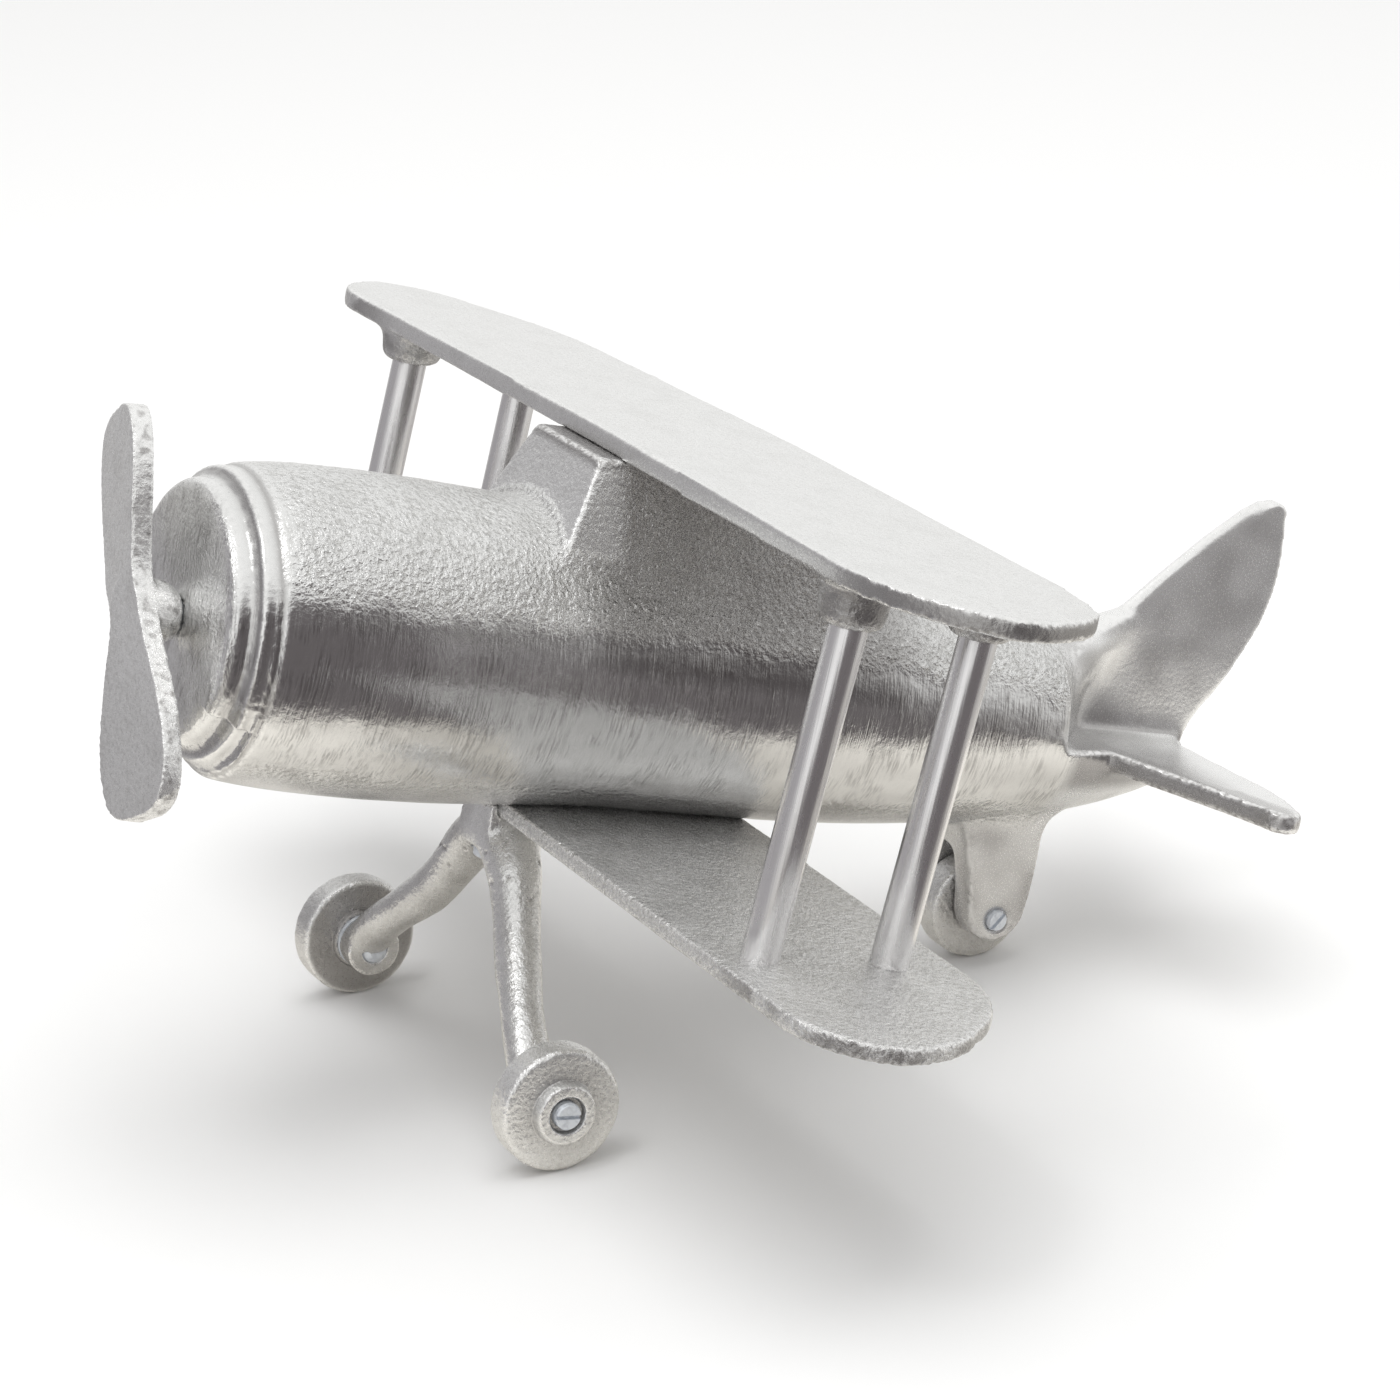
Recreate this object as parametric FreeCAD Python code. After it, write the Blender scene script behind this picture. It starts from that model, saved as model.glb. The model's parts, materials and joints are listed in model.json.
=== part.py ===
import FreeCAD, Part
import math
import os

# Cast aluminium biplane ornament, standing on two main wheels and a tail wheel.
#
# All pieces are drawn in the plane's own frame: origin at the middle of the nose's front face,
# +X to the plane's left, +Y aft along the fuselage, +Z up, in millimetres.
# The last section tips the nose up and lifts the plane so that its three wheels stand on z = 0.

os.makedirs("parts", exist_ok=True)

V = FreeCAD.Vector
X_AXIS = V(1, 0, 0)
Y_AXIS = V(0, 1, 0)
Z_AXIS = V(0, 0, 1)

# ---------------------------------------------------------------- driving dimensions
ROD_RADIUS = 4.0            # drawn aluminium rod of the wing struts
M6_RADIUS = 3.0             # axle screws, propeller shaft and gear screw
M5_RADIUS = 2.5             # tail axle screw and wing screw
M4_RADIUS = 2.0             # strut screws
RUNNING_GAP = 0.05          # radial clearance of everything that turns
END_GAP = 0.1               # end float beside everything that turns
UPPER_PLATE = 4.4           # thickness of the upper wing casting
LOWER_PLATE = 3.8           # thickness of the lower wing casting
SLOT_WIDTH = 1.2            # screwdriver slots
SLOT_DEPTH = 1.2
BIG = 80.0                  # longer than anything a cutting block has to cut through

# Fuselage casting: radius and height of the section's centre at each distance behind the nose.
BARREL_FRONT = 8.8
BARREL_STATIONS = [         # (distance aft, radius, centre height)
    (BARREL_FRONT, 32.6, -0.4),
    (20.0, 33.9, -0.5),
    (46.0, 34.3, -1.1),
    (78.0, 33.0, -1.5),
    (110.0, 31.6, -2.0),
    (145.0, 30.6, -3.4),
    (180.0, 27.3, -5.2),
    (206.0, 23.4, -6.4),
    (219.0, 20.6, -7.0),
    (233.0, 16.4, -7.6),
    (245.0, 11.4, -8.4),
    (251.0, 5.0, -9.0),
]
# Nose: rounded steps from the flat front face back to the barrel, (distance aft, radius, rounding).
NOSE_STEPS = [(0.0, 28.8, 3.0), (4.3, 31.6, 2.6)]
NOSE_STEPS_BELOW = [(0.0, 26.8, 3.4), (4.5, 30.4, 3.4)]
NOSE_BELOW_ANGLE = 118.0    # the deeper steps fill this much of the circle, centred below
NOSE_DEPTH = 14.0           # how far the stepped disc runs into the barrel

# Wings
UPPER_WING_TOP = 49.8
UPPER_WING_UNDER = UPPER_WING_TOP - UPPER_PLATE
LOWER_WING_TOP = -32.7
LOWER_WING_UNDER = LOWER_WING_TOP - LOWER_PLATE
BOSS_RADIUS = 7.0
BOSS_HEIGHT = {1: 9.0, -1: 7.0}     # the right-hand pair came out of the mould shorter
BOSS_COLLAR = 2.8           # rounding under each boss
BOSS_FLARE = 0.7            # how much wider the boss is where it meets the wing
ROD_SOCKET_DEPTH = 6.5      # how far each rod goes up inside its boss
SPIGOT_RADIUS = 6.0         # cast peg under the upper wing, in a socket in the pylon
SPIGOT_Y = 108.0
SPIGOT_END = UPPER_WING_UNDER - 8.0

# Wing struts: where each rod's lower end stands and where its upper end lies
STRUT_FOOT_X = 105.8
STRUT_HEAD_X = 107.6
STRUT_FOOT_Y = {"front": 90.2, "rear": 120.1}
STRUT_HEAD_Y = {"front": 92.8, "rear": 122.7}

# Pylon between the fuselage and the upper wing
PYLON_TOP = (15.9, 81.2, 130.0)      # half width, front, rear at the upper wing's underside
PYLON_BASE = (28.3, 66.9, 146.0)     # the same where the sides run into the barrel
PYLON_BASE_HEIGHT = 5.0

# Tail
FIN_HALF = 2.5              # half the fin's thickness
STABILISER_TOP = -7.8
STABILISER_THICKNESS = 4.7
TAIL_CUT = 208.5            # the round barrel ends here above the stabiliser
FORK_HALF = 12.6            # half the tail fork's width over its two tines
FORK_SLOT_HALF = 4.7        # half the slot the tail wheel turns in
FORK_SLOT_TOP = -37.0

# Wheels: centre distances and sizes
WHEEL_X = 54.0
WHEEL_Y = 80.9
WHEEL_Z = -84.2
WHEEL_RADIUS = 13.6
WHEEL_HALF = 3.8            # half the tread's width
HUB_RADIUS = 6.6
INNER_HUB = 4.9             # from the wheel's middle to the raised hub face that meets the leg
OUTER_HUB = 6.4             # the same to the hub's outer face
RECESS_RADIUS = 4.1         # round recess in the outer face, about the screw's end
RECESS_DEPTH = 1.6
WHEEL_ROUNDING = 1.8
HUB_FLARE = 0.4             # how much wider each hub is at its foot
TAIL_WHEEL_Y = 207.0
TAIL_WHEEL_Z = -51.5
TAIL_WHEEL_RADIUS = 12.0
TAIL_WHEEL_HALF = 4.1
TAIL_HUB = 4.4              # from the tail wheel's middle to either hub face
TAIL_HUB_RADIUS = 5.0
TAIL_CHAMFER = 0.4          # step at the mouth of the tail wheel's bore
WASHER_RADIUS = 6.2
WASHER_THICKNESS = 1.0
SCREW_PROUD = 0.7           # how far an axle screw's slotted end stands out of the hub
TAIL_SCREW_PROUD = 0.5
AXLE_THREAD = 7.5           # how deep each axle screw goes into its leg
AXLE_PAD_RADIUS = 6.2
AXLE_PAD_DEPTH = 6.0
LEG_FACE_TOP = -54.0        # everything outside the legs' flat faces is cut away up to here

# Landing gear
LEG_SECTIONS = [            # (point on the left leg's centre line, half width, half depth)
    ((0.0, 83.6, -41.6), 7.0, 5.4),
    ((7.5, 83.6, -44.6), 6.6, 5.6),
    ((13.6, 83.4, -51.0), 5.7, 5.4),
    ((20.0, 82.6, -59.6), 5.1, 5.0),
    ((29.0, 81.0, -68.4), 4.8, 4.7),
    ((37.5, 79.8, -75.6), 4.9, 4.4),
    ((43.0, 79.8, -81.2), 5.3, 4.2),
    ((44.6, 80.4, -85.6), 5.6, 3.4),
]
LEG_CORNERS = 12            # points the smooth oval of each section passes through
GEAR_SEAT = (7.4, 77.0, 91.0, -45.0)  # half width, front, rear and underside of the seat block
GEAR_SEAT_HEIGHT = 15.0     # up into the wing and the barrel, which are then cut away
GEAR_HEAD_SEAT = -44.5      # height of the shoulder the gear screw's head pulls against
GEAR_SCREW_Y = 84.0
GEAR_SCREW_TIP = -18.0
WING_SCREW_Y = 126.0
WING_SCREW_TIP = -20.0
STRUT_SCREW_REACH = 10.0    # how far each strut screw goes up into its rod

# Propeller
PROPELLER_Y = -9.3
PROPELLER_RADIUS = 43.8
PROPELLER_THICKNESS = 4.6
PROPELLER_PITCH = 9.0       # degrees each blade is turned about its own length
PROPELLER_LEAN = -28.5      # degrees the blades lean about the fuselage axis, at rest
BLADE_CHORDS = [            # (share of the radius, chord)
    (0.0, 14.8), (0.14, 15.8), (0.32, 19.6), (0.52, 23.4), (0.70, 25.0), (0.84, 23.6),
    (0.93, 19.8), (0.98, 14.0), (1.0, 7.4),
]
UPPER_BLADE_WIDER = 1.12    # the casting's upper blade is broader than the lower one
UPPER_BLADE_ASIDE = 4.0     # how far the upper blade stands out of line, along its chord
LOWER_BLADE_ASIDE = 3.0     # the same at the lower blade's tip, the other way
PROPELLER_BALL_RADIUS = 7.0
PROPELLER_FRONT_WALL = 1.4  # metal left in front of the shaft's blind hole
HEAD_RADIUS = 5.0           # the gear screw's round head
HEAD_CLEARANCE = 0.2
HEAD_THICKNESS = 3.0
THREAD_IN_NOSE = 16.0


# ---------------------------------------------------------------- helpers
def cylinder(radius, start, end):
    """A round bar from one point to another."""
    along = end - start
    return Part.makeCylinder(radius, along.Length, start, along)


def prism(outline, offset):
    """A solid made by moving a closed outline along a vector."""
    return Part.Face(outline).extrude(offset)


def path(pieces):
    """A closed wire from straight runs (2 points) and arcs (3 points), given in order."""
    edges = []
    for points in pieces:
        if len(points) == 2:
            edges.append(Part.makeLine(*points))
        else:
            edges.append(Part.Arc(*points).toShape())
    return Part.Wire(edges)


def joined(shapes):
    """One clean solid from several that meet."""
    whole = shapes[0]
    for shape in shapes[1:]:
        whole = whole.fuse(shape)
    return whole.removeSplitter()


def block(low, high):
    """A box from its lowest to its highest corner."""
    size = high - low
    return Part.makeBox(size.x, size.y, size.z, low)


def upright(radius, aft, low, high):
    """A round bar on the middle line, parallel to Z."""
    return cylinder(radius, V(0, aft, low), V(0, aft, high))


def mirrored(shape):
    """The same shape on the plane's other side."""
    return shape.mirror(V(0, 0, 0), X_AXIS)


def slotted(shape, centre, outward, slot_along):
    """Cut a screwdriver slot into the end face at centre."""
    across = outward.cross(slot_along)
    corner = centre - slot_along * (BIG / 2) - across * (SLOT_WIDTH / 2) - outward * SLOT_DEPTH
    loop = [corner, corner + slot_along * BIG,
            corner + slot_along * BIG + across * SLOT_WIDTH, corner + across * SLOT_WIDTH]
    return shape.cut(prism(Part.makePolygon(loop + [corner]), outward * (2 * SLOT_DEPTH)))


# ---------------------------------------------------------------- fuselage casting
def stepped_nose(steps, angle, turned):
    """Rounded steps turned about the fuselage axis through part of a circle."""
    pieces = []
    last = V(0, 0, 0)
    for i, (aft, radius, rounding) in enumerate(steps):
        end = steps[i + 1][0] if i + 1 < len(steps) else NOSE_DEPTH
        flat = V(radius - rounding, aft, 0)
        turn = rounding * (1 - math.sqrt(0.5))
        pieces.append([last, flat])
        pieces.append([flat, V(radius - turn, aft + turn, 0), V(radius, aft + rounding, 0)])
        last = V(radius, end, 0)
        pieces.append([V(radius, aft + rounding, 0), last])
    pieces.append([last, V(0, NOSE_DEPTH, 0)])
    pieces.append([V(0, NOSE_DEPTH, 0), V(0, 0, 0)])
    profile = Part.Face(path(pieces))
    profile.rotate(V(0, 0, 0), Y_AXIS, turned)
    return profile.revolve(V(0, 0, 0), Y_AXIS, angle)


def barrel():
    """The round body, a smooth skin over circles."""
    rings = []
    for aft, radius, height in BARREL_STATIONS:
        rings.append(Part.Wire(Part.makeCircle(radius, V(0, aft, height), Y_AXIS)))
    return Part.makeLoft(rings, True, False)


def pylon():
    """Flat-faced pylon that carries the upper wing, splayed towards the barrel."""
    loops = []
    for (half, front, rear), height in ((PYLON_BASE, PYLON_BASE_HEIGHT), (PYLON_TOP, UPPER_WING_UNDER)):
        corners = [V(-half, front, height), V(half, front, height),
                   V(half, rear, height), V(-half, rear, height)]
        loops.append(Part.makePolygon(corners + [corners[0]]))
    return Part.makeLoft(loops, True, True)


# The fin's bevelled front: at each height, where the flat side starts, how far forward and how
# wide the bevel begins, and where its nose lies.
FIN_BEVEL = [               # (height, side starts, bevel front, bevel half width, nose)
    (-8.0, 222.2, 207.5, 21.0, 203.0),
    (2.0, 222.6, 208.5, 19.6, 203.0),
    (10.0, 229.4, 209.5, 12.6, 205.0),
    (15.0, 234.0, 219.0, 6.0, 214.0),
    (21.0, 239.0, 231.5, 2.3, 228.6),
    (29.0, 244.4, 238.6, 1.9, 236.2),
    (39.0, 253.4, 248.6, 1.6, 246.6),
    (46.6, 261.2, 257.2, 1.5, 255.4),
    (49.4, 264.6, 261.6, 1.4, 260.0),
]


def fin_bevel():
    loops = []
    for height, side, front, half, nose in FIN_BEVEL:
        corners = [V(-FIN_HALF, side + 1, height), V(-FIN_HALF, side, height), V(-half, front, height),
                   V(0, nose, height), V(half, front, height), V(FIN_HALF, side, height),
                   V(FIN_HALF, side + 1, height)]
        loops.append(Part.makePolygon(corners + [corners[0]]))
    return Part.makeLoft(loops, True, True)


def fin_plate():
    def at(aft, height):
        return V(-FIN_HALF, aft, height)

    outline = path([
        [at(222.2, -10.0), at(222.6, 2.0)],
        [at(222.6, 2.0), at(229.4, 10.0)],
        [at(229.4, 10.0), at(239.0, 21.0)],
        [at(239.0, 21.0), at(244.4, 29.0)],
        [at(244.4, 29.0), at(253.4, 39.0), at(262.4, 48.4)],
        [at(262.4, 48.4), at(265.6, 49.6), at(267.4, 46.2)],
        [at(267.4, 46.2), at(269.0, 35.0), at(267.4, 21.4)],
        [at(267.4, 21.4), at(264.2, 13.6), at(257.6, 1.6)],
        [at(257.6, 1.6), at(254.0, -4.6), at(252.8, -10.0)],
        [at(252.8, -10.0), at(222.2, -10.0)],
    ])
    return prism(outline, X_AXIS * (2 * FIN_HALF))


def stabiliser():
    """Left and right halves in one plate."""
    def at(out, aft):
        return V(out, aft, STABILISER_TOP)

    outline = path([
        [at(0, 212.0), at(8.0, 219.0)],
        [at(8.0, 219.0), at(17.0, 221.4), at(26.0, 224.6)],
        [at(26.0, 224.6), at(42.0, 232.6), at(57.0, 239.4)],
        [at(57.0, 239.4), at(62.2, 243.6), at(58.6, 248.2)],
        [at(58.6, 248.2), at(45.0, 251.4), at(30.0, 250.6)],
        [at(30.0, 250.6), at(8.0, 249.4)],
        [at(8.0, 249.4), at(0, 252.6)],
        [at(0, 252.6), at(0, 212.0)],
    ])
    half = prism(outline, Z_AXIS * -STABILISER_THICKNESS)
    return joined([half, mirrored(half)])


def tail_fork():
    """Two thick tines with the tail wheel's slot between them."""
    def at(aft, height):
        return V(-FORK_HALF, aft, height)

    outline = path([
        [at(184.0, -16.0), at(192.0, -29.0)],
        [at(192.0, -29.0), at(196.2, -40.0), at(198.6, -49.6)],
        [at(198.6, -49.6), at(206.8, -57.0), at(214.4, -50.4)],
        [at(214.4, -50.4), at(215.0, -40.0), at(214.6, -31.0)],
        [at(214.6, -31.0), at(215.6, -27.0), at(219.0, -24.4)],
        [at(219.0, -24.4), at(219.0, -16.0)],
        [at(219.0, -16.0), at(184.0, -16.0)],
    ])
    blade = prism(outline, X_AXIS * (2 * FORK_HALF))
    slot = Part.makeBox(2 * FORK_SLOT_HALF, BIG, BIG,
                        V(-FORK_SLOT_HALF, TAIL_WHEEL_Y - BIG / 2, FORK_SLOT_TOP - BIG))
    return blade.cut(slot)


def fuselage(lower_wing_plate):
    nose_above = stepped_nose(NOSE_STEPS, 360.0 - NOSE_BELOW_ANGLE, 90.0 + NOSE_BELOW_ANGLE / 2)
    nose_below = stepped_nose(NOSE_STEPS_BELOW, NOSE_BELOW_ANGLE, 90.0 - NOSE_BELOW_ANGLE / 2)
    above_tail = block(V(-BIG, TAIL_CUT, STABILISER_TOP), V(BIG, TAIL_CUT + BIG, BIG))
    seated = barrel().cut(above_tail).cut(lower_wing_plate)
    body = joined([seated, pylon(), nose_above, nose_below, fin_bevel(), fin_plate(), stabiliser(),
                   tail_fork()])
    socket = upright(SPIGOT_RADIUS + RUNNING_GAP, SPIGOT_Y, SPIGOT_END - 1, UPPER_WING_UNDER)
    nose_thread = cylinder(M6_RADIUS, V(0, 0, 0), V(0, THREAD_IN_NOSE, 0))
    gear_thread = upright(M6_RADIUS, GEAR_SCREW_Y, LOWER_WING_UNDER, GEAR_SCREW_TIP)
    wing_thread = upright(M5_RADIUS, WING_SCREW_Y, LOWER_WING_UNDER, WING_SCREW_TIP)
    axle_thread = cylinder(M5_RADIUS, V(-FORK_HALF - 1, TAIL_WHEEL_Y, TAIL_WHEEL_Z),
                           V(FORK_HALF + 1, TAIL_WHEEL_Y, TAIL_WHEEL_Z))
    for hole in (socket, nose_thread, gear_thread, wing_thread, axle_thread):
        body = body.cut(hole)
    return body


# ---------------------------------------------------------------- wings and struts
def strut_ends(side, row):
    """Foot on the lower wing and head inside the upper wing's boss, for one rod."""
    foot = V(side * STRUT_FOOT_X, STRUT_FOOT_Y[row], LOWER_WING_TOP)
    mouth = V(side * STRUT_HEAD_X, STRUT_HEAD_Y[row], UPPER_WING_UNDER - BOSS_HEIGHT[side])
    along = (mouth - foot).normalize()
    return foot, mouth, along


def strut(side, row):
    foot, mouth, along = strut_ends(side, row)
    spare = 2.0
    rod = cylinder(ROD_RADIUS, foot - along * spare, mouth + along * ROD_SOCKET_DEPTH)
    below = block(foot - V(BIG, BIG, BIG), foot + V(BIG, BIG, 0))
    tapped = cylinder(M4_RADIUS, foot - Z_AXIS, foot + Z_AXIS * (STRUT_SCREW_REACH + spare))
    return rod.cut(below).cut(tapped)


def upper_wing():
    def at(out, aft):
        return V(out, aft, UPPER_WING_UNDER)

    outline = path([
        [at(0, 86.6), at(108, 84.4)],
        [at(108, 84.4), at(134, 91.2), at(146.6, 105.5)],
        [at(146.6, 105.5), at(143.6, 120.0), at(133.6, 131.8)],
        [at(133.6, 131.8), at(118.0, 135.2), at(98.0, 135.6)],
        [at(98.0, 135.6), at(0, 137.2)],
        [at(0, 137.2), at(-84.0, 132.6)],
        [at(-84.0, 132.6), at(-110.0, 129.0), at(-132.0, 118.4)],
        [at(-132.0, 118.4), at(-144.6, 109.6), at(-147.6, 98.4)],
        [at(-147.6, 98.4), at(-139.0, 88.2), at(-124.0, 84.0)],
        [at(-124.0, 84.0), at(0, 86.6)],
    ])
    wing = prism(outline, Z_AXIS * UPPER_PLATE)
    bosses = []
    holes = []
    for side in (1, -1):
        for row in ("front", "rear"):
            _, mouth, along = strut_ends(side, row)
            bosses.append(boss(mouth, BOSS_HEIGHT[side]))
            holes.append(cylinder(ROD_RADIUS, mouth - along * 3, mouth + along * ROD_SOCKET_DEPTH))
    spigot = upright(SPIGOT_RADIUS, SPIGOT_Y, SPIGOT_END, UPPER_WING_UNDER + 1)
    wing = joined([wing, spigot] + bosses)
    for hole in holes:
        wing = wing.cut(hole)
    return wing


def boss(mouth, height):
    """Cup under the upper wing with a rounded lower edge."""
    turn = BOSS_COLLAR * (1 - math.sqrt(0.5))
    lip = BOSS_RADIUS - BOSS_COLLAR
    wide = BOSS_RADIUS + BOSS_FLARE
    profile = path([
        [V(0, 0, 0), V(lip, 0, 0)],
        [V(lip, 0, 0), V(BOSS_RADIUS - turn, 0, turn), V(BOSS_RADIUS, 0, BOSS_COLLAR)],
        [V(BOSS_RADIUS, 0, BOSS_COLLAR), V(wide, 0, height)],
        [V(wide, 0, height), V(wide, 0, height + 1)],
        [V(wide, 0, height + 1), V(0, 0, height + 1)],
        [V(0, 0, height + 1), V(0, 0, 0)],
    ])
    cup = Part.Face(profile).revolve(V(0, 0, 0), Z_AXIS, 360)
    cup.translate(mouth)
    return cup


def lower_wing_plate():
    def at(out, aft):
        return V(out, aft, LOWER_WING_UNDER)

    outline = path([
        [at(0, 78.8), at(134.0, 79.0)],
        [at(134.0, 79.0), at(149.0, 83.4), at(156.0, 96.0)],
        [at(156.0, 96.0), at(151.6, 109.0), at(141.6, 120.8)],
        [at(141.6, 120.8), at(127.0, 132.6), at(106.0, 137.4)],
        [at(106.0, 137.4), at(0, 138.6)],
        [at(0, 138.6), at(0, 78.8)],
    ])
    half = prism(outline, Z_AXIS * LOWER_PLATE)
    return joined([half, mirrored(half)])


def countersunk_room(radius, head_point, tip_point):
    """The room a countersunk screw takes up, with its head flush at head_point."""
    cone = Part.makeCone(2 * radius, radius, radius, head_point, tip_point - head_point)
    return joined([cone, cylinder(radius, head_point, tip_point)])


def countersunk_screw(radius, head_point, tip_point):
    outward = (head_point - tip_point).normalize()
    return slotted(countersunk_room(radius, head_point, tip_point), head_point, outward, X_AXIS)


def strut_screw_ends(side, row):
    foot, _, _ = strut_ends(side, row)
    return V(foot.x, foot.y, LOWER_WING_UNDER), foot + Z_AXIS * STRUT_SCREW_REACH


def lower_wing(plate):
    wing = plate
    for side in (1, -1):
        for row in ("front", "rear"):
            wing = wing.cut(countersunk_room(M4_RADIUS, *strut_screw_ends(side, row)))
    wing = wing.cut(countersunk_room(M5_RADIUS, *WING_SCREW))
    return wing.cut(upright(M6_RADIUS, GEAR_SCREW_Y, LOWER_WING_UNDER - 1, GEAR_SCREW_TIP))


# ---------------------------------------------------------------- landing gear and wheels
def legs():
    """Both legs in one arch: a smooth skin over oval sections, each square to the centre line."""
    right = [(V(-x, y, z), wide, deep) for (x, y, z), wide, deep in reversed(LEG_SECTIONS[1:])]
    left = [(V(x, y, z), wide, deep) for (x, y, z), wide, deep in LEG_SECTIONS]
    stations = right + left
    loops = []
    for i, (point, half_width, half_depth) in enumerate(stations):
        ahead = stations[min(i + 1, len(stations) - 1)][0]
        behind = stations[max(i - 1, 0)][0]
        along = (ahead - behind).normalize()
        out = Y_AXIS.cross(along).normalize()
        across = along.cross(out)
        corners = []
        for step in range(LEG_CORNERS):
            angle = 2 * math.pi * step / LEG_CORNERS
            corners.append(point + across * (half_width * math.cos(angle))
                           + out * (half_depth * math.sin(angle)))
        curve = Part.BSplineCurve()
        curve.interpolate(corners, PeriodicFlag=True)
        loops.append(Part.Wire(curve.toShape()))
    return Part.makeLoft(loops, True, False)


def leg_face():
    """Distance out from the middle to the flat face each wheel's washer bears on."""
    return WHEEL_X - INNER_HUB - END_GAP - WASHER_THICKNESS


def landing_gear(wing):
    """Arch of both legs under a seat, with a flat pad for each wheel and a deep hole for its screw."""
    half, front, rear, under = GEAR_SEAT
    face = leg_face()
    gear = joined([block(V(-half, front, under), V(half, rear, under + GEAR_SEAT_HEIGHT)), legs()])
    for side in (1, -1):
        near_x, far_x = sorted([side * face, side * BIG])
        outside = block(V(near_x, 0, -2 * BIG), V(far_x, 2 * BIG, LEG_FACE_TOP))
        pad = cylinder(AXLE_PAD_RADIUS, V(side * (face - AXLE_PAD_DEPTH), WHEEL_Y, WHEEL_Z),
                       V(side * face, WHEEL_Y, WHEEL_Z))
        gear = joined([gear.cut(outside), pad])
    gear = gear.cut(barrel()).cut(wing)
    for side in (1, -1):
        gear = gear.cut(cylinder(M6_RADIUS, V(side * (face - AXLE_THREAD), WHEEL_Y, WHEEL_Z),
                                 V(side * (face + 1), WHEEL_Y, WHEEL_Z)))
    head_room = upright(HEAD_RADIUS + HEAD_CLEARANCE, GEAR_SCREW_Y, -BIG, GEAR_HEAD_SEAT)
    return gear.cut(upright(M6_RADIUS, GEAR_SCREW_Y, -BIG, GEAR_SCREW_TIP)).cut(head_room)


def axle_screw(side):
    start = V(side * (leg_face() - AXLE_THREAD), WHEEL_Y, WHEEL_Z)
    end = V(side * (WHEEL_X + OUTER_HUB + SCREW_PROUD), WHEEL_Y, WHEEL_Z)
    return slotted(cylinder(M6_RADIUS, start, end), end, X_AXIS * side, Y_AXIS)


def axle_washer(side):
    inner = V(side * leg_face(), WHEEL_Y, WHEEL_Z)
    outer = V(side * (WHEEL_X - INNER_HUB - END_GAP), WHEEL_Y, WHEEL_Z)
    ring = cylinder(WASHER_RADIUS, inner, outer)
    return ring.cut(cylinder(M6_RADIUS, inner - X_AXIS * side, outer + X_AXIS * side))


def wheel(centre, side, radius, half, hub_radius, inner_hub, outer_hub, bore, recess):
    """Flat disc with a rounded rim and a raised hub on both faces, turned about X. Side is 1 or -1
    for the way its outer face looks; recess is (radius, depth) of the hole about the screw's end."""
    turn = WHEEL_ROUNDING * (1 - math.sqrt(0.5))
    edge = half - WHEEL_ROUNDING
    recess_radius, recess_depth = recess
    floor = outer_hub - recess_depth
    foot = hub_radius + HUB_FLARE

    def at(along, out):
        return V(side * along, out, 0)

    profile = path([
        [at(-inner_hub, bore), at(-inner_hub, hub_radius)],
        [at(-inner_hub, hub_radius), at(-half, foot)],
        [at(-half, foot), at(-half, radius - WHEEL_ROUNDING)],
        [at(-half, radius - WHEEL_ROUNDING), at(-half + turn, radius - turn), at(-edge, radius)],
        [at(-edge, radius), at(edge, radius)],
        [at(edge, radius), at(half - turn, radius - turn), at(half, radius - WHEEL_ROUNDING)],
        [at(half, radius - WHEEL_ROUNDING), at(half, foot)],
        [at(half, foot), at(outer_hub, hub_radius)],
        [at(outer_hub, hub_radius), at(outer_hub, recess_radius)],
        [at(outer_hub, recess_radius), at(floor, recess_radius)],
        [at(floor, recess_radius), at(floor, bore)],
        [at(floor, bore), at(-inner_hub, bore)],
    ])
    disc = Part.Face(profile).revolve(V(0, 0, 0), X_AXIS, 360)
    disc.translate(centre)
    return disc


def main_wheel(side):
    return wheel(V(side * WHEEL_X, WHEEL_Y, WHEEL_Z), side, WHEEL_RADIUS, WHEEL_HALF, HUB_RADIUS,
                 INNER_HUB, OUTER_HUB, M6_RADIUS + RUNNING_GAP, (RECESS_RADIUS, RECESS_DEPTH))


def tail_wheel():
    bore = M5_RADIUS + RUNNING_GAP
    return wheel(V(0, TAIL_WHEEL_Y, TAIL_WHEEL_Z), 1, TAIL_WHEEL_RADIUS, TAIL_WHEEL_HALF, TAIL_HUB_RADIUS,
                 TAIL_HUB, TAIL_HUB, bore, (bore + TAIL_CHAMFER, TAIL_CHAMFER))


def tail_axle_screw():
    start = V(-FORK_HALF, TAIL_WHEEL_Y, TAIL_WHEEL_Z)
    end = V(FORK_HALF + TAIL_SCREW_PROUD, TAIL_WHEEL_Y, TAIL_WHEEL_Z)
    turned = math.radians(40)
    slot_way = V(0, math.cos(turned), math.sin(turned))
    return slotted(cylinder(M5_RADIUS, start, end), end, X_AXIS, slot_way)


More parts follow.
